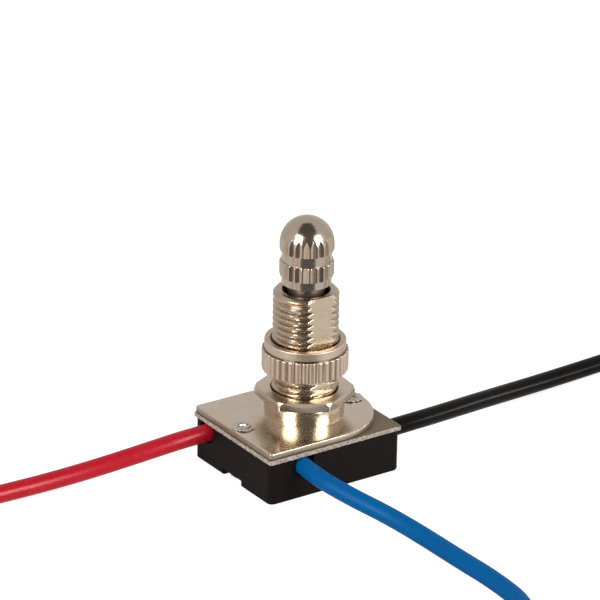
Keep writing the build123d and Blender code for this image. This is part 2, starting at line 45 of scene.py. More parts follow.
# Sizes of the frame that the new pieces follow, in millimetres
AXIS_X = 1.13
SHEET_BASE = 6.35
PLATE_BASE = 7.03
PLATE_TOP = 7.98
BOSS_TOP = 10.45
HEX_TOP = 12.0
NUT_BASE = 14.9
NUT_KNURL_TOP = 18.1
NUT_TOP = 19.55
BUSHING_FOOT = 8.9
BUSHING_TOP = 27.1
KNOB_BASE = 28.22
KNOB_LOWER = 29.4
KNOB_GROOVE = 31.7
KNOB_UPPER = 33.18
KNOB_SHOULDER = 34.27
KNOB_BORE_TOP = 33.74
RIVET_X = 9.4
NOTCH_TOP = 0.95
THREAD_RADIUS = 4.7625
FLAT_DISTANCE = 4.07
NUT_BORE = 4.48
NUT_RADIUS = 6.25
NUT_COLLAR = 5.88
NUT_COUNTERSINK = 5.08
HEX_HALF_WIDTH = 6.35
HEX_CORNER = 7.25
PLATE_END = 11.17
PLATE_HALF_WIDTH = 9.82
PLATE_CORNER = 0.4
SHEET_HALF_LENGTH = 11.35
SHEET_HALF_WIDTH = 10.0
SHEET_CORNER = 0.35
SHEET_HOLE = 4.2

ON_AXIS = Matrix.Translation((AXIS_X * MM, 0, 0))


# Materials

def linear(colour):
    """An sRGB hex colour as linear red, green, blue and alpha."""
    channels = [int(colour[i:i + 2], 16) / 255 for i in (1, 3, 5)]
    return [c / 12.92 if c <= 0.04045 else ((c + 0.055) / 1.055) ** 2.4 for c in channels] + [1.0]


def add(tree, kind, values={}, **settings):
    """Adds one node with its settings; a value that is a socket is linked, and any other is set."""
    made = tree.nodes.new(kind)
    for name, value in settings.items():
        setattr(made, name, value)
    for name, value in values.items():
        if isinstance(value, bpy.types.NodeSocket):
            tree.links.new(value, made.inputs[name])
        else:
            made.inputs[name].default_value = value
    return made


def blank(name):
    """An empty material with its output, and the place on the piece in metres."""
    material = bpy.data.materials.new(name)
    material.use_nodes = True
    tree = material.node_tree
    tree.nodes.clear()
    return material, tree, add(tree, "ShaderNodeTexCoord").outputs["Object"]


def per_mm(size):
    """The noise scale whose features are about that many millimetres wide."""
    return 1 / (size * MM)


def metal(name, pale, dull, roughness, spread, grain_mm, grain_depth, tarnish_mm):
    """Plated or bare metal: cloudy in patches, with a fine grain that spreads its shine."""
    material, tree, place = blank(name)
    cloud = add(tree, "ShaderNodeTexNoise",
                {"Vector": place, "Scale": per_mm(tarnish_mm), "Detail": 4.0, "Roughness": 0.6})
    tint = add(tree, "ShaderNodeMix", {0: cloud.outputs["Fac"], 6: linear(dull), 7: linear(pale)},
               data_type="RGBA")
    grain = add(tree, "ShaderNodeTexNoise",
                {"Vector": place, "Scale": per_mm(grain_mm), "Detail": 3.0, "Roughness": 0.7})
    gloss = add(tree, "ShaderNodeMapRange",
                {"Value": grain.outputs["Fac"], "From Min": 0.3, "From Max": 0.7,
                 "To Min": roughness - spread, "To Max": roughness + spread})
    relief = add(tree, "ShaderNodeBump",
                 {"Height": grain.outputs["Fac"], "Strength": 1.0, "Distance": grain_depth * MM})
    surface = add(tree, "ShaderNodeBsdfPrincipled",
                  {"Base Color": tint.outputs[2], "Metallic": 1.0, "Roughness": gloss.outputs["Result"],
                   "Normal": relief.outputs["Normal"]})
    add(tree, "ShaderNodeOutputMaterial", {"Surface": surface.outputs[0]})
    return material


def insulation(name, colour, shade, roughness, specular):
    """Extruded PVC: even colour, soft shine, slightly uneven along its length."""
    material, tree, place = blank(name)
    cloud = add(tree, "ShaderNodeTexNoise",
                {"Vector": place, "Scale": per_mm(3.0), "Detail": 3.0, "Roughness": 0.55})
    tint = add(tree, "ShaderNodeMix", {0: cloud.outputs["Fac"], 6: linear(shade), 7: linear(colour)},
               data_type="RGBA")
    skin = add(tree, "ShaderNodeTexNoise",
               {"Vector": place, "Scale": per_mm(0.5), "Detail": 3.0, "Roughness": 0.6})
    gloss = add(tree, "ShaderNodeMapRange",
                {"Value": skin.outputs["Fac"], "From Min": 0.3, "From Max": 0.7,
                 "To Min": roughness - 0.05, "To Max": roughness + 0.08})
    relief = add(tree, "ShaderNodeBump",
                 {"Height": skin.outputs["Fac"], "Strength": 1.0, "Distance": 0.012 * MM})
    surface = add(tree, "ShaderNodeBsdfPrincipled",
                  {"Base Color": tint.outputs[2], "Roughness": gloss.outputs["Result"], "IOR": 1.53,
                   "Specular IOR Level": specular, "Normal": relief.outputs["Normal"]})
    add(tree, "ShaderNodeOutputMaterial", {"Surface": surface.outputs[0]})
    return material


def moulded_phenolic(name, colour, flow):
    """Compression-moulded phenolic: brown-black, faintly cloudy from its filler, dull satin skin."""
    material, tree, place = blank(name)
    cloud = add(tree, "ShaderNodeTexNoise",
                {"Vector": place, "Scale": per_mm(1.2), "Detail": 5.0, "Roughness": 0.65})
    tint = add(tree, "ShaderNodeMix", {0: cloud.outputs["Fac"], 6: linear(colour), 7: linear(flow)},
               data_type="RGBA")
    skin = add(tree, "ShaderNodeTexNoise",
               {"Vector": place, "Scale": per_mm(0.3), "Detail": 4.0, "Roughness": 0.7})
    gloss = add(tree, "ShaderNodeMapRange",
                {"Value": skin.outputs["Fac"], "From Min": 0.3, "From Max": 0.7,
                 "To Min": 0.42, "To Max": 0.6})
    relief = add(tree, "ShaderNodeBump",
                 {"Height": skin.outputs["Fac"], "Strength": 1.0, "Distance": 0.02 * MM})
    surface = add(tree, "ShaderNodeBsdfPrincipled",
                  {"Base Color": tint.outputs[2], "Roughness": gloss.outputs["Result"], "IOR": 1.55,
                   "Specular IOR Level": 0.05, "Normal": relief.outputs["Normal"]})
    add(tree, "ShaderNodeOutputMaterial", {"Surface": surface.outputs[0]})
    return material


def vulcanised_fibre(name, face, cut, fleck):
    """Calendered fibre sheet: smooth olive-grey faces, and a torn pale edge where it was sheared."""
    material, tree, place = blank(name)
    mottle = add(tree, "ShaderNodeTexNoise",
                 {"Vector": place, "Scale": per_mm(0.35), "Detail": 4.0, "Roughness": 0.7})
    speckle = add(tree, "ShaderNodeMapRange",
                  {"Value": mottle.outputs["Fac"], "From Min": 0.4, "From Max": 0.6})
    edge = add(tree, "ShaderNodeMix", {0: speckle.outputs["Result"], 6: linear(fleck), 7: linear(cut)},
               data_type="RGBA")
    facing = add(tree, "ShaderNodeSeparateXYZ",
                 {"Vector": add(tree, "ShaderNodeNewGeometry").outputs["Normal"]})
    flat = add(tree, "ShaderNodeMath", {0: facing.outputs["Z"]}, operation="ABSOLUTE")
    level = add(tree, "ShaderNodeMapRange",
                {"Value": flat.outputs[0], "From Min": 0.6, "From Max": 0.95})
    tint = add(tree, "ShaderNodeMix", {0: level.outputs["Result"], 6: edge.outputs[2], 7: linear(face)},
               data_type="RGBA")
    gloss = add(tree, "ShaderNodeMapRange",
                {"Value": level.outputs["Result"], "To Min": 0.75, "To Max": 0.45})
    relief = add(tree, "ShaderNodeBump",
                 {"Height": mottle.outputs["Fac"], "Strength": 1.0, "Distance": 0.03 * MM})
    surface = add(tree, "ShaderNodeBsdfPrincipled",
                  {"Base Color": tint.outputs[2], "Roughness": gloss.outputs["Result"], "IOR": 1.5,
                   "Specular IOR Level": 0.2, "Normal": relief.outputs["Normal"]})
    add(tree, "ShaderNodeOutputMaterial", {"Surface": surface.outputs[0]})
    return material


# Each metal has its pale and dull colour, its roughness and how far that spreads, its grain's width and depth,
# and the width of its cloudy patches, in millimetres. Grain finer than a pixel is drawn as coarse as it shows.

# Stamped steel under a satin plate: even and soft, with a fine speckle
stamped_nickel = metal("satin_nickel_on_stamped_steel", "#cabba8", "#b8a893", 0.22, 0.08, 0.26, 0.009, 2.5)
# The plate's sheared edge: grey, rough and torn
sheared_nickel = metal("sheared_edge_of_the_stamped_plate", "#a79988", "#7f7061", 0.5, 0.1, 0.15, 0.02, 0.7)
# The finger nut: a duller satin than the rest, so its ridges shade softly
satin_nickel = metal("satin_nickel_on_the_finger_nut", "#c3b09e", "#ae9b88", 0.42, 0.06, 0.25, 0.008, 1.8)
# Turned brass under bright plate: clear highlights that the thread breaks up
turned_nickel = metal("bright_nickel_on_turned_brass", "#b8a793", "#9f8e79", 0.26, 0.06, 0.25, 0.006, 1.8)
# The bushing's milled flat: paler and more even than the thread
milled_nickel = metal("milled_flat_of_the_bushing", "#c6b59f", "#ad9c86", 0.28, 0.06, 0.2, 0.006, 1.5)
# The corner behind the nut's ridges: painted shade, nickel darkened to stand in for the shadow and dark
# reflections in the recess; darker and clear
nut_corner_painted_shade = metal("painted_shade_in_the_nut_corner", "#8d8176", "#746a60", 0.2, 0.05, 0.3, 0.004, 1.0)
# The punched lock nut: smooth and pale
smooth_nickel = metal("smooth_nickel_on_the_punched_nut", "#cbbba8", "#b9a893", 0.24, 0.05, 0.25, 0.006, 1.8)
# The torn patches on the lock nut's flats: chalky and rough
torn_nickel = metal("torn_edge_of_the_punched_nut", "#b7ac9f", "#9b9083", 0.55, 0.1, 0.12, 0.02, 0.5)
# The knob: nearly a mirror, so that the studio shows in it
polished_nickel = metal("polished_nickel_on_the_knob", "#b9aa99", "#ab9b89", 0.18, 0.03, 0.4, 0.002, 2.0)
# The rivets: pale and slightly blotched where the metal was rolled over
rolled_nickel = metal("rolled_nickel_on_the_rivets", "#c6bdb6", "#a39a92", 0.28, 0.08, 0.2, 0.01, 0.6)
# The spindle: dull and dark in the gap under the knob
dull_steel = metal("dull_plated_steel_spindle", "#7d7268", "#655a50", 0.42, 0.08, 0.3, 0.006, 1.0)
# The leaf and the ring inside: plain grey steel
spring_steel = metal("plain_spring_steel", "#a6a5a2", "#8b8a88", 0.3, 0.06, 0.3, 0.004, 1.5)
# The contacts inside: yellow strip with a soft shine
contact_brass = metal("cold_rolled_brass_strip", "#d0aa5c", "#b08a42", 0.28, 0.06, 0.3, 0.004, 1.2)
# The stripped strands: orange and bright along each wire
copper_strand = metal("drawn_copper_strand", "#c9804f", "#a8623a", 0.3, 0.06, 0.15, 0.004, 0.8)
# The box: brown-black and nearly without shine
dark_phenolic = moulded_phenolic("moulded_dark_phenolic", "#120d0b", "#19120f")
# The drum inside: the same moulding in brown
brown_phenolic = moulded_phenolic("moulded_brown_phenolic", "#6a3d20", "#7a4a2a")
# The sheet: olive-grey faces and a pale torn edge
fibre_sheet = vulcanised_fibre("sheared_vulcanised_fibre", "#6d604c", "#c9bcae", "#8f8175")
# The leads: even colour with a soft line of shine, blue the dullest and black the glossiest
red_pvc = insulation("extruded_red_pvc", "#c01c2d", "#b01525", 0.27, 0.15)
blue_pvc = insulation("extruded_blue_pvc", "#0061a2", "#005793", 0.42, 0.05)
black_pvc = insulation("extruded_black_pvc", "#110e0b", "#0c0907", 0.24, 0.06)

CAD_FINISHES = {
    "housing": dark_phenolic,
    "spindle": dull_steel,
    "rotor": brown_phenolic,
    "rotor_contact": contact_brass,
    "retaining_ring": spring_steel,
    "detent_spring": spring_steel,
    "contact_red": contact_brass,
    "contact_blue": contact_brass,
    "contact_black": contact_brass,
    "inner_end_red": copper_strand,
    "inner_end_blue": copper_strand,
    "inner_end_black": copper_strand,
}
for node_name, finish in CAD_FINISHES.items():
    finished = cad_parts[node_name].data
    finished.materials.clear()
    finished.materials.append(finish)


# Camera: fitted to the plate's corners and the turned parts' edges

CAMERA_AZIMUTH = math.radians(-34.51)
CAMERA_ELEVATION = math.radians(23.4)
CAMERA_ROLL = math.radians(1.0)
CAMERA_DISTANCE = 571.96
CAMERA_TARGET = Vector((2.32, 3.25, 23.86))
LENS = 240.0


def direction(azimuth, elevation):
    """Unit vector from the object to a place round it, in the camera's own measure of azimuth."""
    return Vector((math.sin(azimuth) * math.cos(elevation), -math.cos(azimuth) * math.cos(elevation),
                   math.sin(elevation)))


def make_camera():
    """The photograph's own view."""
    back = direction(CAMERA_AZIMUTH, CAMERA_ELEVATION)
    level = Vector((math.cos(CAMERA_AZIMUTH), math.sin(CAMERA_AZIMUTH), 0))
    rise = back.cross(level)
    right = level * math.cos(CAMERA_ROLL) + rise * math.sin(CAMERA_ROLL)
    up = rise * math.cos(CAMERA_ROLL) - level * math.sin(CAMERA_ROLL)
    data = bpy.data.cameras.new("camera")
    data.lens = LENS
    data.sensor_width = 36.0
    camera = bpy.data.objects.new("camera", data)
    bpy.context.scene.collection.objects.link(camera)
    turn = Matrix((right, up, back)).transposed()
    spot = (CAMERA_TARGET + back * CAMERA_DISTANCE) * MM
    camera.matrix_world = Matrix.Translation(spot) @ turn.to_4x4()
    data.clip_start, data.clip_end = 0.01, 10.0
    bpy.context.scene.camera = camera


make_camera()


# Pieces

def as_piece(mesh, name, material, body, node, sharp=35):
    """Closes a mesh into a piece that rides on a body and stands for a node of the frame."""
    bmesh.ops.remove_doubles(mesh, verts=mesh.verts, dist=0.0001 * MM)
    bmesh.ops.recalc_face_normals(mesh, faces=mesh.faces)
    data = bpy.data.meshes.new(name)
    mesh.to_mesh(data)
    mesh.free()
    data.materials.append(material)
    data.polygons.foreach_set("use_smooth", [True] * len(data.polygons))
    data.set_sharp_from_angle(angle=math.radians(sharp))
    piece = bpy.data.objects.new(name, data)
    bpy.context.scene.collection.objects.link(piece)
    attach(piece, body)
    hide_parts(node)
    return piece


def turned(outline, steps, place=ON_AXIS, closed=True, edge=0.0, spacing=0.0, plain_within=0.0, start=0.0,
           dome=None, reshape=None):
    """Spins an outline of radius and height about an upright axis, then moves each point as reshape says.

    Long edges are cut to the spacing, apart from those that reach within the plain radius.
    """
    mesh = bmesh.new()
    points = [mesh.verts.new((radius * MM, 0, height * MM)) for radius, height in outline]
    for pair in zip(points, points[1:]):
        mesh.edges.new(pair)
    if closed:
        mesh.edges.new((points[-1], points[0]))
    if dome:
        bmesh.ops.spin(mesh, geom=[points[-1]], cent=(0, 0, dome * MM), axis=(0, -1, 0), angle=FULL_TURN / 4,
                       steps=40, use_duplicate=False)
    if edge:
        corners = points if closed else points[1:-1]
        bmesh.ops.bevel(mesh, geom=corners, offset=edge * MM, offset_type="OFFSET", affect="VERTICES",
                        segments=3, profile=0.5, material=-1, clamp_overlap=True)
    if spacing:
        for long_edge in list(mesh.edges):
            cuts = int(long_edge.calc_length() / (spacing * MM))
            if cuts and min(v.co.x for v in long_edge.verts) >= plain_within * MM:
                bmesh.ops.subdivide_edges(mesh, edges=[long_edge], cuts=cuts)
    bmesh.ops.rotate(mesh, verts=mesh.verts, cent=(0, 0, 0), matrix=Matrix.Rotation(start, 3, "Z"))
    bmesh.ops.spin(mesh, geom=mesh.verts[:] + mesh.edges[:], cent=(0, 0, 0), axis=(0, 0, 1), angle=FULL_TURN,
                   steps=steps, use_merge=True, use_duplicate=False)
    bmesh.ops.remove_doubles(mesh, verts=mesh.verts, dist=0.0001 * MM)
    if reshape:
        for v in mesh.verts:
            radius = math.hypot(v.co.x, v.co.y)
            angle = math.atan2(v.co.y, v.co.x)
            new_radius, height = reshape(radius / MM, angle, v.co.z / MM)
            v.co = (new_radius * MM * math.cos(angle), new_radius * MM * math.sin(angle), height * MM)
    bmesh.ops.transform(mesh, matrix=place, verts=mesh.verts)
    return mesh


def clamped(value):
    """A value kept between 0 and 1."""
    return min(1.0, max(0.0, value))


def lesser(a, b, soft):
    """The smaller of two radii, with the corner where they meet rounded by about soft."""
    share = clamped(0.5 + 0.5 * (b - a) / soft)
    return b * (1 - share) + a * share - soft * share * (1 - share)


def from_centre(angle, count, first=0.0):
    """How far an angle lies from the nearest of a ring of equal divisions."""
    turn = FULL_TURN / count
    return (angle - first + turn / 2) % turn - turn / 2


# Leads: the route's points are the control points of one smooth spline each

LEAD_RADIUS = 1.31
STRAND_RADIUS = 0.51
BARE_LENGTH = 12.7
FLOOR_LINE = 1.32
LEADS = {
    "red": (red_pvc, (-11.2, 6.6, 4.95), 134.9, [
        (-9.1, 6.6, 4.95), (-14.5, 6.7, 4.9), (-20.5, 7.8, 3.9), (-27.5, 9.7, 2.4), (-35.0, 11.0, 1.5),
        (-43.0, 11.6, FLOOR_LINE), (-51.3, 12.0, FLOOR_LINE), (-59.6, 12.7, FLOOR_LINE),
        (-68.0, 13.0, FLOOR_LINE), (-76.6, 12.4, FLOOR_LINE), (-84.7, 9.6, FLOOR_LINE),
        (-90.7, 3.6, FLOOR_LINE), (-93.0, -4.6, FLOOR_LINE), (-90.9, -12.8, FLOOR_LINE),
        (-84.8, -18.7, FLOOR_LINE), (-76.5, -20.6, FLOOR_LINE), (-68.4, -18.0, FLOOR_LINE),
        (-63.0, -11.6, FLOOR_LINE)]),
    "blue": (blue_pvc, (-5.4, -9.85, 4.95), 134.6, [
        (-5.4, -7.75, 4.95), (-6.0, -13.5, 4.9), (-4.4, -19.3, 3.9), (-1.5, -24.8, 2.4), (0.0, -31.5, 1.5),
        (0.3, -39.0, FLOOR_LINE), (0.6, -47.0, FLOOR_LINE), (-0.1, -55.0, FLOOR_LINE),
        (-4.6, -62.0, FLOOR_LINE), (-12.2, -65.6, FLOOR_LINE), (-20.7, -64.6, FLOOR_LINE),
        (-29.4, -61.4, FLOOR_LINE), (-38.0, -57.7, FLOOR_LINE), (-46.4, -53.6, FLOOR_LINE),
        (-54.6, -49.3, FLOOR_LINE), (-62.6, -44.9, FLOOR_LINE), (-70.4, -40.3, FLOOR_LINE),
        (-75.2, -36.9, FLOOR_LINE)]),
    "black": (black_pvc, (11.2, -6.2, 4.95), 134.3, [
        (9.1, -6.2, 4.95), (14.6, -5.9, 4.85), (21.5, -4.6, 4.2), (28.5, -2.9, 3.4), (35.5, -1.1, 2.5),
        (43.0, 0.4, 1.75), (50.8, 1.4, 1.4), (58.9, 2.1, FLOOR_LINE), (67.2, 2.0, FLOOR_LINE),
        (75.5, -0.3, FLOOR_LINE), (81.9, -5.8, FLOOR_LINE), (85.2, -13.6, FLOOR_LINE),
        (84.6, -22.0, FLOOR_LINE), (80.2, -29.2, FLOOR_LINE), (73.0, -33.7, FLOOR_LINE),
        (64.6, -35.0, FLOOR_LINE), (56.2, -34.6, FLOOR_LINE), (47.9, -33.6, FLOOR_LINE)]),
}


def strands(radius, angle, height):
    """A bundle of fine wires laid with a slow twist."""
    lobe = abs(math.sin(3.5 * (angle + height * 0.45)))
    return radius * (0.8 + 0.2 * math.sqrt(lobe)), height


def make_bare_end(name, end, heading):
    """Stripped and twisted strands that follow the insulation's end."""
    outline = [(0, 0), (STRAND_RADIUS, 0), (STRAND_RADIUS, BARE_LENGTH), (0, BARE_LENGTH)]
    place = Matrix.Translation(end * MM) @ heading.to_track_quat("Z", "Y").to_matrix().to_4x4()
    mesh = turned(outline, 84, place=place, closed=False, spacing=0.25, reshape=strands)
    return as_piece(mesh, f"stripped_strands_{name}", copper_strand, "switch_body",
                    f"bare_end_{name}", 60)


def make_lead(name, pvc, route):
    """One insulated lead along its route, with its stripped end."""
    curve = bpy.data.curves.new(f"lead_wire_{name}", "CURVE")
    curve.dimensions = "3D"
    curve.bevel_depth = LEAD_RADIUS * MM
    curve.bevel_resolution = 8
    curve.resolution_u = 10
    curve.use_fill_caps = True
    spline = curve.splines.new("NURBS")
    spline.points.add(len(route) - 1)
    for control, point in zip(spline.points, route):
        control.co = (*[c * MM for c in point], 1.0)
    spline.order_u = 3
    spline.use_endpoint_u = True
    curve.materials.append(pvc)
    lead = bpy.data.objects.new(f"lead_wire_{name}", curve)
    bpy.context.scene.collection.objects.link(lead)
    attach(lead, "switch_body")
    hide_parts(f"lead_{name}")
    end = Vector(route[-1])
    bare = make_bare_end(name, end, end - Vector(route[-2]))


for lead_name, (pvc, way_out, length, route) in LEADS.items():
    make_lead(lead_name, pvc, route)


KNOB_FLUTES = 22
FIRST_FLUTE = math.radians(5.3)
FLUTE_ROOT = 3.62
FLUTE_SLOPE = 0.56


def knob_flutes(radius, angle, height):
    """Sharp flutes that end at the bands' steps and, on the dome, in pointed arches."""
    off = abs(from_centre(angle, KNOB_FLUTES, FIRST_FLUTE))
    wall = FLUTE_ROOT / (math.cos(off) - FLUTE_SLOPE * math.sin(off))
    return lesser(radius, wall, 0.03), height


def make_knob():
    """Two fluted bands under a dome, with a neck below and between them, bored for the spindle."""
    bore, neck, step, band, edge = 2.02, 3.58, 3.78, 3.9, 0.12
    outline = [
        (0, KNOB_BORE_TOP), (bore, KNOB_BORE_TOP), (bore, KNOB_BASE), (neck, KNOB_BASE), (neck, KNOB_LOWER),
        (step, KNOB_LOWER), (band, KNOB_LOWER + edge), (band, KNOB_GROOVE - edge), (step, KNOB_GROOVE),
        (neck, KNOB_GROOVE), (neck, KNOB_UPPER),
        (step, KNOB_UPPER), (band, KNOB_UPPER + edge), (band, KNOB_SHOULDER),
    ]
    mesh = turned(outline, KNOB_FLUTES * 16, closed=False, edge=0.03, spacing=0.12, plain_within=2.1,
                  start=FIRST_FLUTE, dome=KNOB_SHOULDER, reshape=knob_flutes)
    return as_piece(mesh, "fluted_knob", polished_nickel, "knob_assembly", "knob", 28)


NUT_RIDGES = 36
FIRST_GROOVE = math.radians(1.0)
GROOVE_DEPTH = 0.3


def nut_ridges(radius, angle, height):
    """Round-topped ridges with narrow grooves between them."""
    if not NUT_BASE - 0.01 < height < NUT_KNURL_TOP + 0.01:
        return radius, height
    groove = 1 - 2 * abs(from_centre(angle, NUT_RIDGES, FIRST_GROOVE)) / (FULL_TURN / NUT_RIDGES)
    return lesser(radius, NUT_RADIUS - GROOVE_DEPTH * groove**2.4, 0.03), height


def make_knurled_nut():
    """Ridged ring with a plain collar on top, countersunk at both ends."""
    outline = [
        (NUT_BORE, NUT_BASE + 0.6), (NUT_COUNTERSINK, NUT_BASE), (6.1, NUT_BASE), (NUT_RADIUS, NUT_BASE + 0.15),
        (NUT_RADIUS, NUT_KNURL_TOP - 0.15), (6.12, NUT_KNURL_TOP), (NUT_COLLAR, NUT_KNURL_TOP),
        (NUT_COLLAR, NUT_TOP - 0.12), (5.78, NUT_TOP), (NUT_COUNTERSINK, NUT_TOP), (NUT_BORE, NUT_TOP - 0.6),
    ]
    mesh = turned(outline, NUT_RIDGES * 12, edge=0.03, spacing=0.1, start=FIRST_GROOVE, reshape=nut_ridges)
    # The land and the corner under the collar take the darker nickel: painted shade in the recess
    for face in mesh.faces:
        middle = face.calc_center_median() / MM
        inside = math.hypot(middle.x - AXIS_X, middle.y) < 6.13
        face.material_index = int(inside and NUT_KNURL_TOP - 0.02 < middle.z < NUT_KNURL_TOP + 0.25)
    nut = as_piece(mesh, "knurled_finger_nut", satin_nickel, "knurled_nut", "knurled_nut")
    nut.data.materials.append(nut_corner_painted_shade)
    return nut


HEX_FLAT = math.radians(55.5)
TORN_DEPTH = 0.69
TORN_HALF_LENGTH = 3.1


def hex_flats(radius, angle, height):
    """Six flats, the first of them at its own angle."""
    return lesser(radius, HEX_HALF_WIDTH / math.cos(from_centre(angle, 6, HEX_FLAT)), 0.04), height


def make_hex_nut():
    """Thin punched nut: blunted corners, and on each flat a torn patch that is deepest in the middle."""
    outline = [
        (NUT_BORE, BOSS_TOP), (6.0, BOSS_TOP), (HEX_CORNER, BOSS_TOP + 0.35), (HEX_CORNER, HEX_TOP - 0.42),
        (7.02, HEX_TOP), (4.98, HEX_TOP), (NUT_BORE, HEX_TOP - 0.5),
    ]
    mesh = turned(outline, 360, edge=0.03, spacing=0.05, start=HEX_FLAT, reshape=hex_flats)
    for face in mesh.faces:
        middle = face.calc_center_median() / MM
        off = from_centre(math.atan2(middle.y, middle.x - AXIS_X), 6, HEX_FLAT)
        torn_depth = TORN_DEPTH * (1 - (HEX_HALF_WIDTH * math.tan(off) / TORN_HALF_LENGTH) ** 2)
        outside = math.hypot(middle.x - AXIS_X, middle.y) > 6.3
        face.material_index = int(outside and HEX_TOP - torn_depth < middle.z < HEX_TOP - 0.02)
    nut = as_piece(mesh, "hex_lock_nut", smooth_nickel, "switch_body", "hex_nut")
    nut.data.materials.append(torn_nickel)
    return nut


THREAD_PITCH = 25.4 / 27
THREAD_DEPTH = 0.45
THREAD_LEAD_IN = 0.9
THREAD_CREST = 0.2
THREAD_FLANK = 0.65
FLAT_FACING = -FULL_TURN / 4
FLAT_RUN_OUT = 0.28
BUSHING_BORE = 3.46
BUSHING_NARROW_BORE = 2.69
BUSHING_COLLAR = 4.6
BUSHING_IN_NUTS = 4.45
BUSHING_SEAT = 3.9


def bushing_thread(radius, angle, height):
    """A right-handed thread on the free stretches, plain near the top, and one flat milled along it."""
    if radius < 4.2 or height < BOSS_TOP + 0.01:
        return radius, height
    free = HEX_TOP - 0.1 < height < NUT_BASE + 0.1 or height > NUT_TOP - 0.1
    if free:
        along = (height / THREAD_PITCH - angle / FULL_TURN) % 1
        ramp = clamped((abs(2 * along - 1) - THREAD_CREST) / THREAD_FLANK)
        lead_in = clamped((BUSHING_TOP - 0.5 - height) / THREAD_LEAD_IN)
        root = THREAD_RADIUS - THREAD_DEPTH * ramp * lead_in
        radius = lesser(radius, root, 0.05)
    off = (angle - FLAT_FACING + math.pi) % FULL_TURN - math.pi
    if height > HEX_TOP + 0.15 and abs(off) < 1.0:
        run_out = FLAT_RUN_OUT * clamped((NUT_BASE + 0.4 - height) / 2.2)
        radius = lesser(radius, (FLAT_DISTANCE + run_out) / math.cos(off), 0.03)
    return radius, height


def make_bushing():
    """Threaded tube, plain where a nut covers it, with its flat faces in their own finish."""
    outline = [
        (BUSHING_NARROW_BORE, BUSHING_FOOT), (BUSHING_COLLAR, BUSHING_FOOT), (BUSHING_COLLAR, BOSS_TOP - 0.95),
        (BUSHING_SEAT, BOSS_TOP - 0.95), (BUSHING_SEAT, BOSS_TOP), (BUSHING_IN_NUTS, BOSS_TOP),
        (BUSHING_IN_NUTS, HEX_TOP - 0.1), (THREAD_RADIUS, HEX_TOP - 0.1), (THREAD_RADIUS, NUT_BASE + 0.1),
        (BUSHING_IN_NUTS, NUT_BASE + 0.1), (BUSHING_IN_NUTS, NUT_TOP - 0.1), (THREAD_RADIUS, NUT_TOP - 0.1),
        (THREAD_RADIUS, BUSHING_TOP - 0.45), (4.3125, BUSHING_TOP), (BUSHING_BORE, BUSHING_TOP),
        (BUSHING_BORE, BUSHING_TOP - 11), (BUSHING_NARROW_BORE, BUSHING_TOP - 11),
    ]
    mesh = turned(outline, 288, edge=0.03, spacing=0.06, plain_within=4.5, reshape=bushing_thread)
    for face in mesh.faces:
        middle = face.calc_center_median() / MM
        milled = abs(middle.x - AXIS_X) < 2.6 and -4.3 < middle.y < -3.9
        face.material_index = int(milled and middle.z > HEX_TOP + 0.15)
    bushing = as_piece(mesh, "threaded_bushing", turned_nickel, "switch_body", "bushing")
    bushing.data.materials.append(milled_nickel)
    return bushing


def within_plate(x, y):
    """Inside the cover plate's outline: two small corners and one full round end."""
    middle = PLATE_END - PLATE_HALF_WIDTH
    if x > middle:
        return math.hypot(x - middle, y) < PLATE_HALF_WIDTH
    past_end = max(-x - PLATE_END + PLATE_CORNER, 0)
    past_side = max(abs(y) - PLATE_HALF_WIDTH + PLATE_CORNER, 0)
    return math.hypot(past_end, past_side) < PLATE_CORNER


def within_sheet(x, y):
    """Inside the fibre sheet's outline: a rectangle with small corners."""
    past_end = max(abs(x) - SHEET_HALF_LENGTH + SHEET_CORNER, 0)
    past_side = max(abs(y) - SHEET_HALF_WIDTH + SHEET_CORNER, 0)
    return math.hypot(past_end, past_side) < SHEET_CORNER


def reach(angle, within):
    """How far an outline lies from the bushing's axis in one direction."""
    near, far = 0.0, 30.0
    while far - near > 0.0005:
        middle = (near + far) / 2
        if within(AXIS_X + middle * math.cos(angle), middle * math.sin(angle)):
            near = middle
        else:
            far = middle
    return near


def grow(mesh, rim, rings, within, ragged=0.0):
    """Grows a round rim out to an outline and down its edge, through rings of inset and height."""
    for inset, height, rough in rings:
        grown = bmesh.ops.extrude_edge_only(mesh, edges=rim)["geom"]
        rim = [g for g in grown if isinstance(g, bmesh.types.BMEdge)]
        for v in [g for g in grown if isinstance(g, bmesh.types.BMVert)]:
            angle = math.atan2(v.co.y, v.co.x - AXIS_X * MM)
            distance = reach(angle, within) - inset
            spot = Vector((AXIS_X + distance * math.cos(angle), distance * math.sin(angle), height))
            torn = ragged * rough * (noise.noise(spot / 0.3) + 0.6 * noise.noise(spot / 0.9))
            distance -= max(torn, -inset)
            v.co = ((AXIS_X + distance * math.cos(angle)) * MM, distance * math.sin(angle) * MM, height * MM)
    return rim


def quarter(centre, radius, first):
    """Points of a quarter circle about a centre of radius and height, from a first angle in degrees."""
    angles = [math.radians(first - 15 * i) for i in range(7)]
    return [(centre[0] + radius * math.cos(a), centre[1] + radius * math.sin(a)) for a in angles]


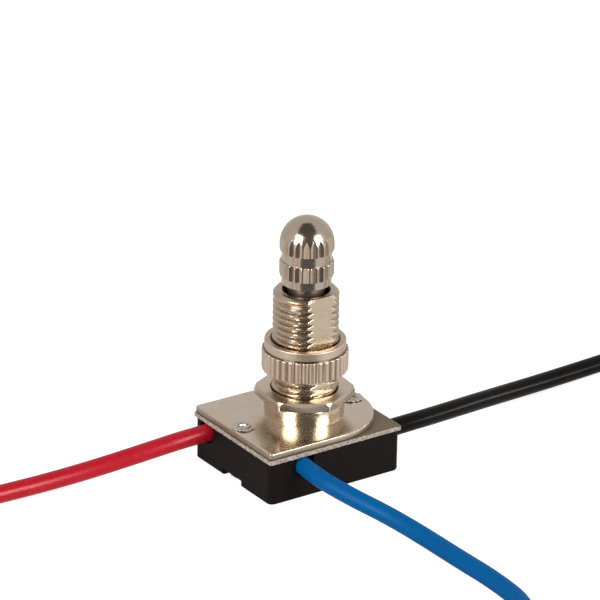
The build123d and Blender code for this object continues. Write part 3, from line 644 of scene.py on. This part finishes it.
def make_cover_plate():
    """Stamped plate with a drawn boss; its edge is sheared, with a small burr rolled off its top."""
    outline = [(4.85, PLATE_BASE), (4.85, BOSS_TOP - 0.95), (3.93, BOSS_TOP - 0.95), (3.93, BOSS_TOP)]
    outline += quarter((5.35, BOSS_TOP - 0.45), 0.45, 90)
    outline += reversed(quarter((5.84, PLATE_TOP + 0.04), 0.04, 270))
    outline.append((6.9, PLATE_TOP))
    mesh = turned(outline, 720, closed=False)
    rim = [e for e in mesh.edges if e.is_boundary and e.verts[0].co.z > (PLATE_TOP - 0.01) * MM]
    rings = [
        (0.5, PLATE_TOP, 0), (0.09, PLATE_TOP, 0), (0.03, PLATE_TOP - 0.02, 0), (0.0, PLATE_TOP - 0.09, 0),
        (0.0, PLATE_BASE + 0.26, 0), (0.05, PLATE_BASE + 0.1, 0), (0.22, PLATE_BASE, 0),
    ]
    rim = grow(mesh, rim, rings, within_plate)
    for face in mesh.faces:
        middle = face.calc_center_median() / MM
        outside = math.hypot(middle.x - AXIS_X, middle.y) > 7.0
        face.material_index = int(outside and PLATE_BASE < middle.z < PLATE_TOP - 0.1)
    inner = [e for e in mesh.edges if e.is_boundary and e not in set(rim)]
    bmesh.ops.bridge_loops(mesh, edges=rim + inner)
    plate = as_piece(mesh, "stamped_cover_plate", stamped_nickel, "switch_body",
                     "cover_plate", 50)
    plate.data.materials.append(sheared_nickel)
    return plate


def make_insulator_sheet():
    """Fibre sheet, sheared so that its edge is torn and chipped."""
    mesh = bmesh.new()
    bmesh.ops.create_circle(mesh, segments=1440, radius=SHEET_HOLE * MM, matrix=ON_AXIS)
    bmesh.ops.translate(mesh, verts=mesh.verts, vec=(0, 0, PLATE_BASE * MM))
    low_hole = list(mesh.edges)
    thickness = PLATE_BASE - SHEET_BASE
    rings = [(0.6, PLATE_BASE, 0), (0.12, PLATE_BASE, 0.3)]
    torn_levels = (0.06, 0.2, 0.36, 0.52, 0.68, 0.84, 0.95)
    rings += [(0.05, PLATE_BASE - share * thickness, 1) for share in torn_levels]
    rings += [(0.12, SHEET_BASE, 0.3), (0.6, SHEET_BASE, 0)]
    rim = grow(mesh, low_hole, rings, within_sheet, ragged=0.09)
    hole = bmesh.ops.extrude_edge_only(mesh, edges=rim)["geom"]
    for v in [g for g in hole if isinstance(g, bmesh.types.BMVert)]:
        angle = math.atan2(v.co.y, v.co.x - AXIS_X * MM)
        v.co.xy = (AXIS_X + SHEET_HOLE * math.cos(angle)) * MM, SHEET_HOLE * math.sin(angle) * MM
    inner = [e for e in mesh.edges if e.is_boundary]
    bmesh.ops.bridge_loops(mesh, edges=inner)
    return as_piece(mesh, "fibre_insulator_sheet", fibre_sheet, "switch_body", "insulator_sheet", 60)


RIVET_SPLITS = 6


def rolled_rim(radius, angle, height):
    """The rolled crown is split into petals, and its flange is a little out of round."""
    if height < PLATE_TOP - 0.3:
        return radius, height
    split = max(0.0, 1 - abs(from_centre(angle, RIVET_SPLITS)) / 0.12)
    crown = max(0.0, 1 - abs(radius - 0.85) / 0.35)
    flange = max(0.0, radius - 1.2) / 0.52
    uneven = 0.03 * math.sin(5 * angle + 1.3) + 0.02 * math.sin(11 * angle)
    return radius * (1 - flange * (0.03 + uneven)), height - 0.12 * split * crown


def make_rivets():
    """Tubular rivets rolled over on the plate, with the other head under the housing."""
    outline = [
        (0, PLATE_TOP - 1.6), (0.45, PLATE_TOP - 1.55), (0.5, PLATE_TOP - 0.1), (0.66, PLATE_TOP + 0.22),
        (0.9, PLATE_TOP + 0.31), (1.12, PLATE_TOP + 0.2), (1.25, PLATE_TOP + 0.15), (1.66, PLATE_TOP + 0.2),
        (1.72, PLATE_TOP + 0.17), (1.5, PLATE_TOP), (1.15, PLATE_TOP), (1.15, NOTCH_TOP), (1.72, NOTCH_TOP),
        (1.72, NOTCH_TOP - 0.25), (1.45, NOTCH_TOP - 0.5), (0.7, NOTCH_TOP - 0.5), (0.5, NOTCH_TOP - 0.1),
        (0, NOTCH_TOP - 0.1),
    ]
    mesh = turned(outline, 120, place=Matrix.Translation((-RIVET_X * MM, 0, 0)), closed=False, edge=0.05,
                  spacing=0.12, reshape=rolled_rim)
    twin = bmesh.ops.duplicate(mesh, geom=mesh.verts[:] + mesh.edges[:] + mesh.faces[:])["geom"]
    bmesh.ops.rotate(mesh, verts=[g for g in twin if isinstance(g, bmesh.types.BMVert)], cent=(0, 0, 0),
                     matrix=Matrix.Rotation(math.pi, 3, "Z"))
    return as_piece(mesh, "rolled_rivets", rolled_nickel, "switch_body", "rivets", 50)


make_knob()
make_knurled_nut()
make_hex_nut()
make_bushing()
make_cover_plate()
make_insulator_sheet()
make_rivets()


# Studio: a white tent with a dark opening towards the camera and a soft light at each side of it

def level_seen(tree, falling, mirrored, direct):
    """A level for light that falls on things, one for mirrors, and one for what is seen directly."""
    path = add(tree, "ShaderNodeLightPath")
    straight = add(tree, "ShaderNodeMath",
                   {0: path.outputs["Is Camera Ray"], 1: path.outputs["Is Transmission Ray"]},
                   operation="MAXIMUM")
    glossy = add(tree, "ShaderNodeMapRange",
                 {"Value": path.outputs["Is Glossy Ray"], "To Min": falling, "To Max": mirrored})
    level = add(tree, "ShaderNodeMapRange",
                {"Value": straight.outputs[0], "To Min": glossy.outputs["Result"], "To Max": direct})
    return level.outputs["Result"]


def make_world():
    """White all round, a little darker in mirrors than to the eye."""
    world = bpy.data.worlds.new("white_tent")
    bpy.context.scene.world = world
    world.use_nodes = True
    tree = world.node_tree
    tree.nodes.clear()
    level = level_seen(tree, 0.42, 0.8, 1.0)
    shine = add(tree, "ShaderNodeBackground", {"Color": (1, 1, 1, 1), "Strength": level})
    add(tree, "ShaderNodeOutputWorld", {"Surface": shine.outputs[0]})


def make_floor():
    """White paper that takes the object's shadow."""
    mesh = bmesh.new()
    bmesh.ops.create_grid(mesh, x_segments=1, y_segments=1, size=3.0)
    data = bpy.data.meshes.new("studio_floor")
    mesh.to_mesh(data)
    mesh.free()
    material, tree, _ = blank("white_paper_floor")
    paper = add(tree, "ShaderNodeBsdfDiffuse", {"Color": (0.8, 0.8, 0.8, 1)})
    glow = add(tree, "ShaderNodeEmission",
               {"Color": (1, 1, 1, 1), "Strength": level_seen(tree, 0.0, 0.3, 0.7)})
    both = add(tree, "ShaderNodeAddShader", {0: paper.outputs[0], 1: glow.outputs[0]})
    add(tree, "ShaderNodeOutputMaterial", {"Surface": both.outputs[0]})
    data.materials.append(material)
    floor = bpy.data.objects.new("studio_floor", data)
    bpy.context.scene.collection.objects.link(floor)


def soft_light(name, azimuth, elevation, distance, width, height, brightness, shine):
    """A soft box: a lamp for what it lights, and a card of its own brightness for what mirrors it."""
    data = bpy.data.lights.new(name, "AREA")
    data.shape = "RECTANGLE"
    data.size = width
    data.size_y = height
    data.energy = brightness * math.pi * width * height
    light = bpy.data.objects.new(name, data)
    bpy.context.scene.collection.objects.link(light)
    away = direction(CAMERA_AZIMUTH + math.radians(azimuth), math.radians(elevation))
    aim = Vector((AXIS_X, 0, 20)) * MM
    spot = Matrix.Translation(aim + away * distance) @ away.to_track_quat("Z", "Y").to_matrix().to_4x4()
    light.matrix_world = spot
    light.visible_glossy = False
    mesh = bmesh.new()
    bmesh.ops.create_grid(mesh, x_segments=1, y_segments=1, size=0.5)
    bmesh.ops.scale(mesh, verts=mesh.verts, vec=(width, height, 1))
    bmesh.ops.transform(mesh, matrix=spot, verts=mesh.verts)
    as_card(mesh, f"{name}_as_mirrored", (shine, shine, shine, 1))


def bent_card(name, outline, sweep, steps, tone):
    """A bent card, spun through part of a turn about the object."""
    mesh = bmesh.new()
    start = CAMERA_AZIMUTH + math.radians(sweep[0])
    points = [mesh.verts.new((radius * math.sin(start), -radius * math.cos(start), height))
              for radius, height in outline]
    edges = [mesh.edges.new(pair) for pair in zip(points, points[1:])]
    bmesh.ops.spin(mesh, geom=points + edges, cent=(0, 0, 0), axis=(0, 0, 1),
                   angle=math.radians(sweep[1] - sweep[0]), steps=steps, use_duplicate=False)
    as_card(mesh, name, tone)


def dark_roof(name, height, tone):
    """A flat dark wedge overhead, with its narrow end behind the object, as the knob's dome mirrors it."""
    mesh = bmesh.new()
    bmesh.ops.create_circle(mesh, cap_ends=True, segments=3, radius=1.6 * height)
    bmesh.ops.bisect_plane(mesh, geom=mesh.verts[:] + mesh.edges[:] + mesh.faces[:],
                           plane_co=(0, 1.3 * height, 0), plane_no=(0, 1, 0), clear_outer=True)
    bmesh.ops.scale(mesh, verts=mesh.verts, vec=(1.3, 1.0, 1.0))
    bmesh.ops.rotate(mesh, verts=mesh.verts, cent=(0, 0, 0), matrix=Matrix.Rotation(CAMERA_AZIMUTH, 3, "Z"))
    shift = direction(CAMERA_AZIMUTH, 0) * height
    bmesh.ops.translate(mesh, verts=mesh.verts, vec=(shift.x, shift.y, height))
    as_card(mesh, name, tone)


def as_card(mesh, name, tone):
    """Makes a mesh a glowing card that only mirrors see."""
    data = bpy.data.meshes.new(name)
    mesh.to_mesh(data)
    mesh.free()
    material, tree, _ = blank(name)
    glow = add(tree, "ShaderNodeEmission", {"Color": tone, "Strength": 1.0})
    add(tree, "ShaderNodeOutputMaterial", {"Surface": glow.outputs[0]})
    data.materials.append(material)
    card = bpy.data.objects.new(name, data)
    bpy.context.scene.collection.objects.link(card)
    for kind in ("camera", "diffuse", "transmission", "shadow", "volume_scatter"):
        setattr(card, f"visible_{kind}", False)


OPENING_TONE = (0.12, 0.112, 0.102, 1)
TABLE_TONE = (0.21, 0.196, 0.178, 1)
GAP_TONE = (15, 15, 15, 1)

make_world()
make_floor()
soft_light("soft_light_left", -41, 24, 0.45, 0.22, 0.28, 5.7, 16.0)
soft_light("soft_light_right", 54, 21, 0.45, 0.205, 0.28, 5.7, 16.0)
bent_card("dark_opening", [(0.6, 0.0), (0.6, 0.42)], (-64, 70), 24, OPENING_TONE)
dark_roof("dark_roof_opening", 0.42, OPENING_TONE)
bent_card("dark_table_front", [(0.03, 0.0004), (0.6, 0.0004)], (-27, 40), 12, TABLE_TONE)
bent_card("bright_gap_right", [(0.18, 0.0362), (0.45, 0.0362)], (86, 118), 12, GAP_TONE)

bpy.context.scene.view_settings.view_transform = "Standard"
